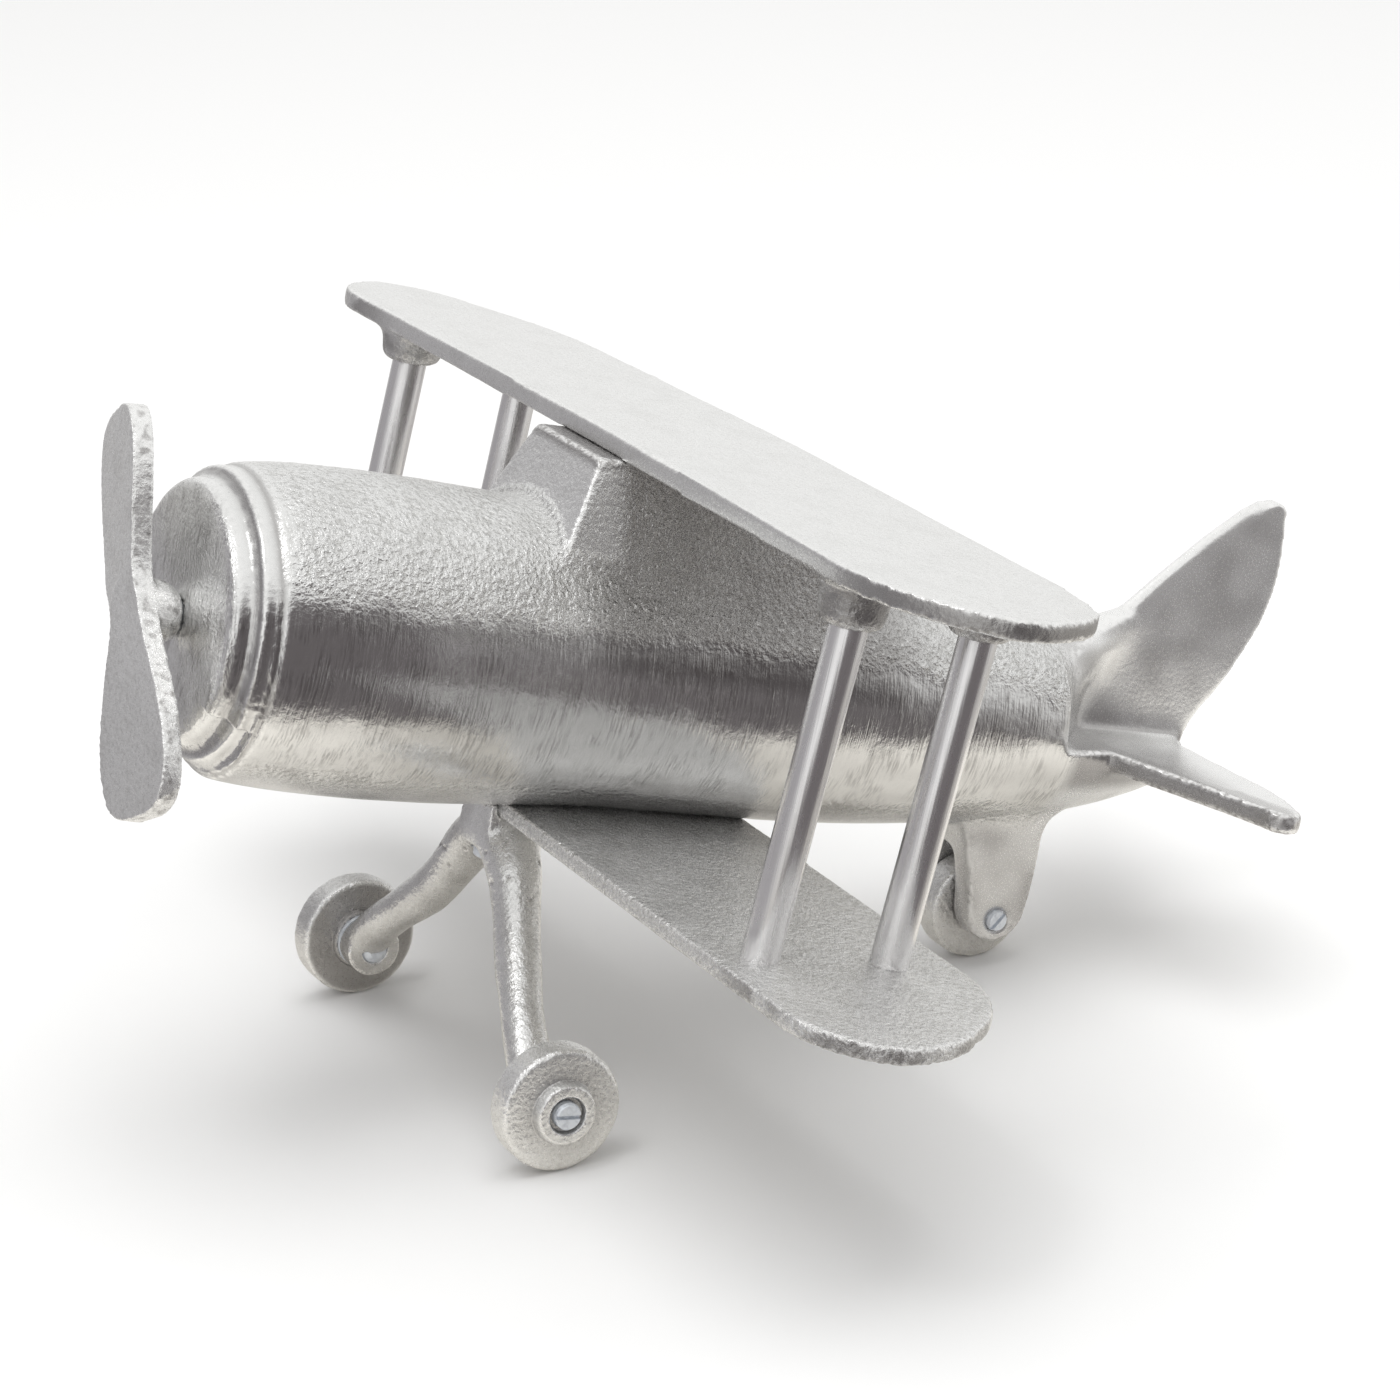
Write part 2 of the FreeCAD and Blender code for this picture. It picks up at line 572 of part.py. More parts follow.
# ---------------------------------------------------------------- propeller
def propeller():
    """One twisted plate: a skin over rectangles along the blades, turned opposite ways."""
    lean = math.radians(PROPELLER_LEAN)
    blade_way = V(math.sin(lean), 0, math.cos(lean))
    flat_chord = V(math.cos(lean), 0, -math.sin(lean))
    lower = [(-share, chord) for share, chord in reversed(BLADE_CHORDS[1:])]
    upper = [(share, chord * UPPER_BLADE_WIDER) for share, chord in BLADE_CHORDS[1:]]
    loops = []
    for share, chord in lower + BLADE_CHORDS[:1] + upper:
        twist = -math.radians(PROPELLER_PITCH) * math.tanh(4 * share)
        chord_way = flat_chord * math.cos(twist) + Y_AXIS * math.sin(twist)
        thick_way = blade_way.cross(chord_way)
        aside = -UPPER_BLADE_ASIDE * math.tanh(5 * share) if share > 0 else -LOWER_BLADE_ASIDE * share
        middle = V(0, PROPELLER_Y, 0) + blade_way * (PROPELLER_RADIUS * share) + chord_way * aside
        corners = []
        for a, b in ((-1, -1), (1, -1), (1, 1), (-1, 1)):
            corners.append(middle + chord_way * (a * chord / 2) + thick_way * (b * PROPELLER_THICKNESS / 2))
        loops.append(Part.makePolygon(corners + [corners[0]]))
    blades = Part.makeLoft(loops, True, False)
    hub = cylinder(BLADE_CHORDS[0][1] / 2, V(0, PROPELLER_Y - PROPELLER_THICKNESS / 2, 0),
                   V(0, PROPELLER_Y + PROPELLER_THICKNESS / 2, 0))
    reach = -PROPELLER_Y - END_GAP
    ball = Part.makeSphere(PROPELLER_BALL_RADIUS, V(0, -PROPELLER_BALL_RADIUS * 0.8, 0))
    ball = ball.common(block(V(-BIG, PROPELLER_Y, -BIG), V(BIG, PROPELLER_Y + reach, BIG)))
    bore = cylinder(M6_RADIUS + RUNNING_GAP, V(0, shaft_front() - END_GAP, 0), V(0, 1, 0))
    return joined([blades, hub, ball]).cut(bore)


def shaft_front():
    return PROPELLER_Y - PROPELLER_THICKNESS / 2 + PROPELLER_FRONT_WALL


def propeller_shaft():
    return cylinder(M6_RADIUS, V(0, shaft_front(), 0), V(0, THREAD_IN_NOSE, 0))


def gear_screw():
    head_face = V(0, GEAR_SCREW_Y, GEAR_HEAD_SEAT - HEAD_THICKNESS)
    screw = joined([cylinder(HEAD_RADIUS, V(0, GEAR_SCREW_Y, GEAR_HEAD_SEAT), head_face),
                    upright(M6_RADIUS, GEAR_SCREW_Y, GEAR_HEAD_SEAT - 1, GEAR_SCREW_TIP)])
    return slotted(screw, head_face, Z_AXIS * -1, X_AXIS)


# ---------------------------------------------------------------- the assembly
WING_SCREW = (V(0, WING_SCREW_Y, LOWER_WING_UNDER), V(0, WING_SCREW_Y, WING_SCREW_TIP))

plate = lower_wing_plate()
nodes = {
    "fuselage": fuselage(plate),
    "upper_wing": upper_wing(),
    "lower_wing": lower_wing(plate),
    "landing_gear": landing_gear(plate),
    "wheel_left": main_wheel(1),
    "wheel_right": main_wheel(-1),
    "tail_wheel": tail_wheel(),
    "axle_screw_left": axle_screw(1),
    "axle_screw_right": axle_screw(-1),
    "axle_washer_left": axle_washer(1),
    "axle_washer_right": axle_washer(-1),
    "tail_axle_screw": tail_axle_screw(),
    "propeller": propeller(),
    "propeller_shaft": propeller_shaft(),
    "gear_screw": gear_screw(),
    "wing_screw": countersunk_screw(M5_RADIUS, *WING_SCREW),
}
screws = []
for side, side_name in ((1, "left"), (-1, "right")):
    for row in ("front", "rear"):
        nodes["strut_" + side_name + "_" + row] = strut(side, row)
        screws.append(countersunk_screw(M4_RADIUS, *strut_screw_ends(side, row)))
nodes["strut_screws"] = Part.makeCompound(screws)

# Standing attitude: the line under the main wheels and the tail wheel becomes the ground.
run = TAIL_WHEEL_Y - WHEEL_Y
rise = TAIL_WHEEL_Z - WHEEL_Z
pitch = math.atan2(rise, run) + math.asin((WHEEL_RADIUS - TAIL_WHEEL_RADIUS) / math.hypot(run, rise))
ground = WHEEL_Y * math.sin(pitch) - WHEEL_Z * math.cos(pitch) + WHEEL_RADIUS
for shape in nodes.values():
    shape.rotate(V(0, 0, 0), X_AXIS, -math.degrees(pitch))
    shape.translate(V(0, 0, ground))

# Centre the whole plane over the origin, front to back.
whole = Part.makeCompound(list(nodes.values())).optimalBoundingBox(True, False)
for name, shape in nodes.items():
    shape.translate(V(0, -(whole.YMin + whole.YMax) / 2, 0))
    shape.exportStep("parts/" + name + ".step")
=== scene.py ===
import json
import math

import bmesh
import bpy
import numpy as np
from mathutils import Matrix, Vector, noise


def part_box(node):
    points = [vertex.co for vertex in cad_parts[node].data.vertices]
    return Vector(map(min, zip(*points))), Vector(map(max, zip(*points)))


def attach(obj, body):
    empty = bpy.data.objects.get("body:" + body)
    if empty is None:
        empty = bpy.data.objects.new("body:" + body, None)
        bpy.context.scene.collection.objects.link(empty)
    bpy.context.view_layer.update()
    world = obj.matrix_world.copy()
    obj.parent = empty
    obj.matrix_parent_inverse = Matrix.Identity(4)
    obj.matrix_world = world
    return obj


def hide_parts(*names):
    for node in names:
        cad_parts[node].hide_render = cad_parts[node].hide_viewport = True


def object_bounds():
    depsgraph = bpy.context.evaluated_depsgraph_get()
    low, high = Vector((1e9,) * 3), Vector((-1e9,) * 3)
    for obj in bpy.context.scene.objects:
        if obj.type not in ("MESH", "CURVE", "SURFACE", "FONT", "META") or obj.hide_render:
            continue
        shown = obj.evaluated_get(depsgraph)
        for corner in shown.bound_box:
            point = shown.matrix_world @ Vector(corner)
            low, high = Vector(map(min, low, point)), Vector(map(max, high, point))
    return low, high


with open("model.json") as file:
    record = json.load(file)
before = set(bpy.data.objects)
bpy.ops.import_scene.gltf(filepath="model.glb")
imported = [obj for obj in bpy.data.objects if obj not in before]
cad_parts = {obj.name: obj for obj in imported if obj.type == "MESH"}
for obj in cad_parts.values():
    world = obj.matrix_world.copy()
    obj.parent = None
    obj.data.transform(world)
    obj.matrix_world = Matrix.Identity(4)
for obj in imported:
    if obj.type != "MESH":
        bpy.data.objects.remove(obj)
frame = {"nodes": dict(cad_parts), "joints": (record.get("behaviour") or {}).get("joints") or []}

# Looks of the cast aluminium biplane. The castings are voxel remeshed copies of the CAD solids, with
# their inner corners filled, outer edges worn and skins left pebbled by the sand mould. Wheels, rods
# and screws are turned shapes built from the sizes of their CAD nodes.

MM = 0.001
cad_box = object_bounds()

# ---------------------------------------------------------------- the plane's own frame
# Millimetres from the middle of the nose's front face: across, aft and up. The propeller's hinge
# runs along the fuselage axis, and the propeller's middle stands this far ahead of the nose.
PROPELLER_AHEAD = 9.3
joints = {joint["name"]: joint for joint in frame["joints"]}
AFT = Vector(joints["propeller_spin"]["axis"])
ACROSS = Vector((1, 0, 0))
UP = ACROSS.cross(AFT)
PITCH = math.asin(-AFT.z)
NOSE = Vector(joints["propeller_spin"]["pos_m"]) + AFT * (PROPELLER_AHEAD * MM)
BODY_AXES = np.array([ACROSS, AFT, UP])

# Leading edge of the stabiliser: distance out from the middle, distance aft.
STABILISER_EDGE = np.array([(8, 219.0), (26, 224.6), (42, 232.6), (57, 239.4)])
UPPER_WING_UNDER = 45.4         # heights of the two wings' undersides
LOWER_WING_UNDER = -36.5
TAIL_CUT = 209.0                # the round barrel stops this far aft, above the stabiliser
FORK_TOP = -24.0                # the tail fork hangs below this height

# Barrel sections, to find where on the fuselage a point lies: distance aft, radius, centre height.
BARREL = np.array([
    (8, 32.6, -0.4), (46, 34.3, -1.1), (110, 31.6, -2.0), (145, 30.6, -3.4), (180, 27.3, -5.2),
    (206, 23.4, -6.4), (233, 16.4, -7.6), (251, 5.0, -9.0),
])


def to_body(points):
    return (points - np.array(NOSE)) @ BODY_AXES.T / MM


def smoothstep(start, end, value):
    share = np.clip((value - start) / (end - start), 0, 1)
    return share * share * (3 - 2 * share)


def between(value, starts, full, fades, ends):
    """1 from full to fades, and falling smoothly to 0 at starts and at ends."""
    return smoothstep(starts, full, value) * smoothstep(ends, fades, value)


def ridge(value, middle, width):
    """Bell curve: 1 at the middle, fading out over about the width."""
    return np.exp(-((value - middle) / width) ** 2)


def lumps(points, size, seed):
    """Soft random value from -1 to 1 at each point, in patches about that size, all in mm."""
    shift = Vector((seed * 17.3, seed * 5.1, seed * 31.7))
    return np.array([noise.noise(Vector(point) / size + shift) for point in points])


# ---------------------------------------------------------------- meshes
def new_object(name, mesh):
    obj = bpy.data.objects.new(name, mesh)
    bpy.context.scene.collection.objects.link(obj)
    return obj


def points_of(mesh):
    flat = np.empty(len(mesh.vertices) * 3, np.float32)
    mesh.vertices.foreach_get("co", flat)
    return flat.reshape(-1, 3).astype(float)


def set_points(mesh, points):
    mesh.vertices.foreach_set("co", points.astype(np.float32).ravel())
    mesh.update()


def paint(mesh, name, values):
    """A number at each vertex that the material reads by name."""
    attribute = mesh.attributes.new(name, "FLOAT", "POINT")
    attribute.data.foreach_set("value", np.asarray(values, np.float32))


def remeshed(node, voxel):
    """Copy of a CAD node as one even skin of small faces, voxel mm apart."""
    source = new_object(node + "_copy", frame["nodes"][node].data.copy())
    remesh = source.modifiers.new("skin", "REMESH")
    remesh.mode = "VOXEL"
    remesh.voxel_size = voxel * MM
    graph = bpy.context.evaluated_depsgraph_get()
    mesh = bpy.data.meshes.new_from_object(source.evaluated_get(graph))
    bpy.data.objects.remove(source)
    mesh.materials.clear()
    mesh.shade_smooth()
    return new_object(node + "_skin", mesh)


class Skin:
    """Neighbour sums over a mesh, for smoothing its points."""

    def __init__(self, mesh):
        self.mesh = mesh
        edges = np.empty(len(mesh.edges) * 2, np.int64)
        mesh.edges.foreach_get("vertices", edges)
        self.edges = edges.reshape(-1, 2)
        self.count = len(mesh.vertices)
        self.degree = np.maximum(np.bincount(self.edges.ravel(), minlength=self.count), 1)[:, None]
        self.points = points_of(mesh)

    def averaged(self, values):
        """Mean of each vertex's neighbours."""
        one, other = self.edges.T
        total = np.empty_like(values)
        for k in range(values.shape[1]):
            total[:, k] = np.bincount(one, values[other, k], self.count)
            total[:, k] += np.bincount(other, values[one, k], self.count)
        return total / self.degree

    def normals(self):
        set_points(self.mesh, self.points)
        flat = np.empty(self.count * 3, np.float32)
        self.mesh.vertex_normals.foreach_get("vector", flat)
        return flat.reshape(-1, 3).astype(float)

    def smooth(self, rounds, weight=1.0):
        for _ in range(rounds):
            self.points += (self.averaged(self.points) - self.points) * (0.5 * weight)

    def fill(self, rounds, weight):
        """Raise only the hollow places, which turns inner corners into fillets."""
        normals = self.normals()
        for step in range(rounds):
            if step % 10 == 9:
                normals = self.normals()
            gap = self.averaged(self.points) - self.points
            rise = np.maximum((gap * normals).sum(1), 0) * weight
            self.points += normals * rise[:, None]

    def convexity(self, rounds):
        """About 1 on outer edges, 0 on flat and hollow places."""
        normals = self.normals()
        gap = self.averaged(self.points) - self.points
        bend = -(gap * normals).sum(1)[:, None]
        for _ in range(rounds):
            bend = 0.5 * bend + 0.5 * self.averaged(bend)
        span = np.percentile(bend, 98)
        return np.clip(bend[:, 0] / max(span, 1e-9), 0, 1.5)

    def push(self, distance):
        """Move each point along its normal, distances in mm."""
        self.points += self.normals() * (distance * MM)[:, None]


def chips(skin, body, depth, seed):
    """Nicks and dents that wear leaves along outer edges, up to depth mm deep."""
    edge = np.clip(skin.convexity(2), 0, 1)
    coarse = np.maximum(lumps(body, 2.2, seed) - 0.05, 0)
    fine = np.maximum(lumps(body, 1.1, seed + 1), 0)
    skin.push(-2 * depth * edge * (coarse + 0.5 * fine))


def finish_casting(obj, skin, node, body_name, regions):
    """Write the shaped points back and hang the piece on its CAD body in place of its node."""
    # Edge brightness: worn outer edges, and also the painted highlights that a casting lists for it.
    edge = np.maximum(skin.convexity(1), regions.get("polished", 0))
    set_points(obj.data, skin.points)
    for name in ("pebble", "brushed", "dark", "matt"):
        paint(obj.data, name, regions.get(name, np.zeros(skin.count)))
    paint(obj.data, "edge", edge)
    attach(obj, body_name)
    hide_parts(node)


# ---------------------------------------------------------------- castings
def around_barrel(body):
    """Degrees up from the horizontal round the barrel at each point, and mm outside its skin."""
    centre = np.interp(body[:, 1], BARREL[:, 0], BARREL[:, 2])
    radius = np.interp(body[:, 1], BARREL[:, 0], BARREL[:, 1])
    up = body[:, 2] - centre
    out = np.abs(body[:, 0])
    return np.degrees(np.arctan2(up, out)), np.hypot(up, out) - radius


def round_fuselage(skin, aft, height, fork):
    """Soften the casting and fill its inner corners, most of all at the pylon, tail and fork."""
    nose = smoothstep(16, 9, aft)
    pylon = between(aft, 50, 60, 150, 165) * between(height, 0, 8, 39, 43)
    tail = between(aft, 196, 206, 250, 262)
    cut = ridge(aft, TAIL_CUT, 5) * smoothstep(-9, -4, height)
    skin.smooth(5, (1 - 0.65 * nose)[:, None])
    skin.fill(55, 0.9 * pylon)
    skin.fill(40, 0.9 * tail)
    skin.smooth(6, (0.8 * tail)[:, None])
    skin.smooth(30, (0.9 * np.maximum(fork, cut))[:, None])


def make_fuselage():
    """Sand-cast above, belt-ground along the sides, with painted shade under the wing and behind the gear.
    """
    obj = remeshed("fuselage", 0.6)
    skin = Skin(obj.data)
    # The zones are laid out on the sharp shape, before its corners are rounded.
    sharp = to_body(skin.points)
    out, aft, height = np.abs(sharp[:, 0]), sharp[:, 1], sharp[:, 2]
    fork = smoothstep(FORK_TOP, FORK_TOP - 8, height)
    round_fuselage(skin, aft, height, fork)
    body = to_body(skin.points)
    angle, above = around_barrel(body)
    ring_zone = between(aft, 1.5, 3, 10.5, 12)
    grooves = ring_zone * np.maximum(ridge(aft, 4.9, 0.8), ridge(aft, 9.4, 0.9))
    skin.push(-0.55 * grooves * (1 + 0.3 * lumps(body, 4, 7)))

    # Where the skin is ground, left as cast, or flat.
    on_barrel = smoothstep(2.5, 0.8, above)
    ragged = angle + 5 * lumps(body, 14, 3) + 2 * lumps(body, 3, 9)
    belly = smoothstep(-36, -48, angle + 9 * lumps(body, 16, 4))
    sides = smoothstep(30, 18, ragged) * on_barrel
    brushed = sides * (1 - belly) * between(aft, 6, 9, 208, 214)
    flat_front = smoothstep(1.4, 0.6, aft)
    facet = smoothstep(1.5, 3.0, above) * smoothstep(90, 84, aft)
    tail = np.clip(smoothstep(208, 214, aft) + fork, 0, 1)
    as_cast = (1 - brushed) * (1 - 0.7 * facet) * smoothstep(8, 16, aft) * (1 - tail)
    pebble = as_cast + 0.35 * flat_front
    sparkle = ridge(ragged, 32, 16) * on_barrel * smoothstep(12, 20, aft)
    grain = lumps(body, 1.3, 6) + 0.6 * lumps(body, 2.8, 8)
    dents = 0.09 * lumps(body, 11, 5) * smoothstep(8, 14, aft)
    hammered = 0.10 * flat_front * lumps(body, 5, 13)
    skin.push(dents + hammered + pebble * (0.06 + 0.12 * sparkle) * grain)

    # Painted shade and painted dark reflections, with some mottled stains and spots, each a patch with its
    # own strength; the strongest wins.
    normals = skin.normals()
    facing_side = np.abs(normals @ np.array(ACROSS))
    facing_up = normals @ np.array(UP)
    mottle = 0.5 + 0.5 * lumps(body, 7, 10)
    spots = smoothstep(0.3, 0.9, mottle)
    nose_side = between(aft, 0, 3, 7, 9) * between(angle, -34, -30, 12, 26)
    pylon_top = smoothstep(42.5, 44.5, height) * between(aft, 60, 66, 150, 160)
    under_wing = between(aft, 72, 90, 150, 175) * smoothstep(2, 14, angle) * (1 - facet)
    belly_shade = belly * between(aft, 70, 95, 150, 175)
    fin_side = tail * smoothstep(0.85, 0.97, facing_side)
    leading_face = tail * between(height, -20, -15, -8, -4) * smoothstep(0.9, 0.6, facing_up)
    root = smoothstep(210, 213, aft) * smoothstep(238, 226, aft + height) * smoothstep(-11, -7, height)
    behind_edge = aft - np.interp(out, STABILISER_EDGE[:, 0], STABILISER_EDGE[:, 1])
    plate_top = tail * between(height, -9.5, -8.5, -6.5, -5.5)
    leading_band = plate_top * smoothstep(8, 4, behind_edge + 1.5 * lumps(body, 4, 15))
    painted_shade_and_stain = np.maximum.reduce([
        # brushed sides, except low down: painted dark reflection
        0.28 * brushed * smoothstep(-30, -20, angle),
        # side band of the nose: painted dark reflection
        0.5 * nose_side,
        # grooves between the nose rings: painted shade
        0.75 * grooves,
        # top of the pylon just under the upper wing: painted shade
        0.9 * pylon_top,
        # pylon and barrel side under the upper wing: painted shade and dark reflection, mottled
        (0.75 + 0.2 * mottle) * under_wing,
        # belly behind the gear: painted shade
        0.65 * belly_shade,
        # underside darker in mottled spots: painted shade
        0.35 * belly * smoothstep(0.35, 0.8, mottle),
        # the tail fork darker all over, with darker spots
        (0.5 + 0.4 * spots) * fork,
        # sideways-facing faces of the fin: painted shade, with spots
        (0.05 + 0.4 * spots) * fin_side,
        # tail faces that do not face up, around the stabiliser: painted shade
        leading_face,
        # corner at the fin root behind the barrel: painted shade, mottled
        0.75 * (0.6 + 0.4 * mottle) * root,
        # band along the stabiliser's rounded leading edge: painted shade
        0.7 * leading_band,
    ])
    # Painted highlights, carried by the edge attribute: the tail's sloped side facets and a bright line
    # along the tail cut.
    bevel = tail * smoothstep(-2, 6, height) * between(facing_side, 0.2, 0.35, 0.8, 0.9)
    tail_edge_highlight = ridge(aft, TAIL_CUT, 3) * between(height, -3, 1, 9, 13)
    regions = {
        "pebble": pebble,
        "brushed": np.clip(brushed + nose_side + flat_front, 0, 1),
        "dark": np.clip(painted_shade_and_stain, 0, 1),
        "matt": np.clip(0.3 * tail + 0.15 * facet, 0, 1),
        "polished": np.maximum(0.8 * bevel, tail_edge_highlight),
    }
    finish_casting(obj, skin, "fuselage", "airframe", regions)
    return obj


def make_wing(node, seed, top_grain, wing_underside):
    obj = remeshed(node, 0.6)
    skin = Skin(obj.data)
    skin.smooth(4)
    skin.fill(12, 0.9)
    body = to_body(skin.points)
    tip = smoothstep(96, 128, np.abs(body[:, 0]))
    chips(skin, body, 0.03 + 0.17 * tip, seed)
    skin.push(0.06 * lumps(body, 18, seed + 2) + top_grain * lumps(body, 1.4, seed + 3))
    skin.smooth(1)
    facing = skin.normals() @ np.array(UP)
    edge_band = smoothstep(0.75, 0.45, np.abs(facing))
    under = smoothstep(-0.3, -0.7, facing)
    # Edges darkened all along as painted shade that dims their reflection, with scuffs near the tips.
    edge_shade_and_scuffs = edge_band * (0.15 + 0.8 * tip * smoothstep(-0.45, 0.1, lumps(body, 9, seed + 4)))
    mottle = 0.5 + 0.5 * lumps(body, 6, seed + 5)
    # Below the wing's underside, darker and mottled: painted shade under the wing.
    boss = smoothstep(-0.6, -1.2, body[:, 2] - wing_underside) * (0.45 + 0.35 * lumps(body, 2.5, seed + 6))
    regions = {
        "pebble": np.clip(np.full(skin.count, top_grain * 14) + boss, 0, 1),
        # dark: edge shade and tip scuffs, the underside darker as painted shade, and painted shade on the
        # parts below the wing
        "dark": np.clip(edge_shade_and_scuffs + 0.25 * under + boss, 0, 1),
        "matt": np.clip(0.05 + top_grain * (1.5 + 3 * mottle), 0, 1),
    }
    finish_casting(obj, skin, node, "airframe", regions)
    return obj


def make_landing_gear():
    obj = remeshed("landing_gear", 0.45)
    skin = Skin(obj.data)
    body = to_body(skin.points)
    apex = smoothstep(-62, -52, body[:, 2])
    skin.smooth(14, (0.2 + 0.8 * apex)[:, None])
    skin.fill(60, 0.9 * (0.3 + 0.7 * apex))
    skin.push(0.10 * lumps(body, 5, 21) + 0.05 * lumps(body, 1.6, 22))
    pits = smoothstep(0.45, 0.65, lumps(body, 1.9, 24)) * smoothstep(-60, -54, body[:, 2])
    skin.push(-0.3 * pits)
    regions = {
        "pebble": np.full(skin.count, 0.45), "matt": np.full(skin.count, 0.05),
        # dark: random mottle, painted shade in the pits, and painted shade on the far leg (across below
        # zero)
        "dark": np.clip(0.16 * smoothstep(-0.1, 0.5, lumps(body, 6, 23)) + 0.5 * pits
                        + 0.35 * smoothstep(0, -6, body[:, 0]), 0, 1),
    }
    finish_casting(obj, skin, "landing_gear", "airframe", regions)
    return obj


def make_propeller():
    obj = remeshed("propeller", 0.4)
    skin = Skin(obj.data)
    skin.smooth(5)
    skin.fill(20, 0.9)
    body = to_body(skin.points)
    radial = np.hypot(body[:, 0], body[:, 2])
    outside = smoothstep(3.6, 4.4, radial)
    edge = np.clip(skin.convexity(2), 0, 1)
    nick = lumps(body, 1.7, 31)
    skin.push(outside * (-0.2 * edge * np.maximum(nick, 0) + 0.10 * lumps(body, 8, 32)
                         + 0.03 * lumps(body, 1.8, 33)))
    # The bore keeps clear of its pin, which has a radius of 3 mm.
    bore = (radial < 3.6) & (body[:, 1] > -9.5)
    out = skin.points - (np.array(NOSE) + np.outer(body[:, 1] * MM, np.array(AFT)))
    reach = np.maximum(np.linalg.norm(out, axis=1), 1e-6)
    stretch = np.maximum(3.1 * MM / reach, 1) - 1
    skin.points[bore] += (out * stretch[:, None])[bore]
    rim = smoothstep(0.85, 0.55, np.abs(skin.normals() @ np.array(AFT)))
    skin.push(outside * rim * 0.05 * lumps(body, 1.8, 34))
    darkening = 0.5 + 0.5 * lumps(body, 9, 35)
    spots = smoothstep(0.12, 0.4, lumps(body, 1.9, 36))
    # Darker towards the bottom: painted shade on the lower blade.
    lower_blade = 0.16 * smoothstep(0, -25, body[:, 2]) * (1 - rim)
    regions = {
        "pebble": 0.75 - 0.45 * rim,
        "matt": np.full(skin.count, 0.22),
        "polished": 0.7 * rim,
        "dark": np.clip(0.04 * darkening + lower_blade + 0.8 * rim * spots, 0, 1),
    }
    finish_casting(obj, skin, "propeller", "propeller", regions)
    return obj


# ---------------------------------------------------------------- turned pieces
def rounded(corners, radii):
    """Outline through corners with each inner one rounded by its radius, as (along, out) points."""
    outline = [corners[0]]
    for i in range(1, len(corners) - 1):
        corner = np.array(corners[i], float)
        back = np.array(corners[i - 1], float) - corner
        ahead = np.array(corners[i + 1], float) - corner
        if radii[i] == 0:
            outline.append(tuple(corner))
            continue
        start = corner + back / np.linalg.norm(back) * radii[i]
        end = corner + ahead / np.linalg.norm(ahead) * radii[i]
        for step in range(7):
            t = step / 6
            outline.append(tuple((1 - t) ** 2 * start + 2 * t * (1 - t) * corner + t * t * end))
    outline.append(corners[-1])
    return outline


def lathe(name, outline, centre, axis, segments):
    """Ring turned about axis through centre from a closed outline of (along, out) points in mm."""
    axis = Vector(axis).normalized()
    side = axis.orthogonal().normalized()
    other = axis.cross(side)
    vertices = []
    for step in range(segments):
        angle = 2 * math.pi * step / segments
        spoke = side * math.cos(angle) + other * math.sin(angle)
        for along, out in outline:
            vertices.append(centre + axis * (along * MM) + spoke * (out * MM))
    rows = len(outline)
    faces = []
    for step in range(segments):
        here, there = step * rows, (step + 1) % segments * rows
        for k in range(rows):
            after = (k + 1) % rows
            faces.append((here + k, there + k, there + after, here + after))
    mesh = bpy.data.meshes.new(name)
    mesh.from_pydata([tuple(v) for v in vertices], [], faces)
    mesh.validate()
    mesh.shade_smooth()
    obj = new_object(name, mesh)
    edge_split = obj.modifiers.new("crisp", "EDGE_SPLIT")
    edge_split.split_angle = math.radians(50)
    return obj


def node_middle(node):
    low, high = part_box(node)
    return (low + high) / 2, high - low


def make_wheel(node, half, hub_radius, bore, recess_radius, recess_depth, painted_shade):
    """Flat disc with a thick rounded rim and a raised hub on both faces, turned about its joint."""
    centre = Vector(joints[node + "_spin"]["pos_m"])
    low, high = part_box(node)
    side = 1 if centre.x >= 0 else -1
    inner, outer = sorted([(high.x - centre.x) / MM, (centre.x - low.x) / MM])
    radius = (high.z - low.z) / 2 / MM
    floor_face = outer - recess_depth
    corners = [
        (-inner, bore), (-inner, hub_radius), (-half, hub_radius + 0.4), (-half, radius), (half, radius),
        (half, hub_radius + 0.4), (outer, hub_radius - 0.1), (outer, recess_radius),
        (floor_face, recess_radius - 0.2), (floor_face, bore),
    ]
    radii = [0, 0.4, 0.15, 1.7, 1.7, 0.25, 0.8, 0.5, 0.3, 0]
    obj = lathe(node + "_turned", rounded(corners, radii), centre, ACROSS * side, 112)
    points = points_of(obj.data)
    local = (points - np.array(centre)) / MM
    from_axis = np.hypot(local[:, 1], local[:, 2])
    worn = smoothstep(recess_radius + 0.4, radius, from_axis)
    large = np.abs(lumps(local, 4, hub_radius))
    small = np.abs(lumps(local, 1.5, hub_radius + 2))
    dents = 0.05 + 0.22 * large + 0.08 * small
    inward = -local / np.maximum(np.linalg.norm(local, axis=1), 1e-6)[:, None]
    set_points(obj.data, points + inward * (worn * dents * MM)[:, None])
    rim = ridge(from_axis, radius - 0.4, 0.5)
    hub_edge = ridge(from_axis, hub_radius - 0.5, 0.4) + ridge(from_axis, recess_radius + 0.3, 0.3)
    # Painted shade in the hub's recess and round the foot of the hub, plus each wheel's own painted shade,
    # made patchy by random mottle.
    recess_shade = smoothstep(recess_radius + 0.1, recess_radius - 0.3, from_axis)
    hub_foot_shade = ridge(from_axis, hub_radius + 0.5, 0.35)
    paint(obj.data, "edge", np.clip(0.7 * rim + hub_edge, 0, 1))
    darkening = painted_shade + 0.12 * lumps(local, 5, 41 + hub_radius)
    paint(obj.data, "pebble", np.full(len(points), 0.6))
    paint(obj.data, "brushed", np.zeros(len(points)))
    paint(obj.data, "dark", np.clip(0.8 * recess_shade + 0.5 * hub_foot_shade + darkening * (1 - rim), 0, 1))
    paint(obj.data, "matt", np.full(len(points), 0.15))
    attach(obj, node)
    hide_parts(node)
    return obj


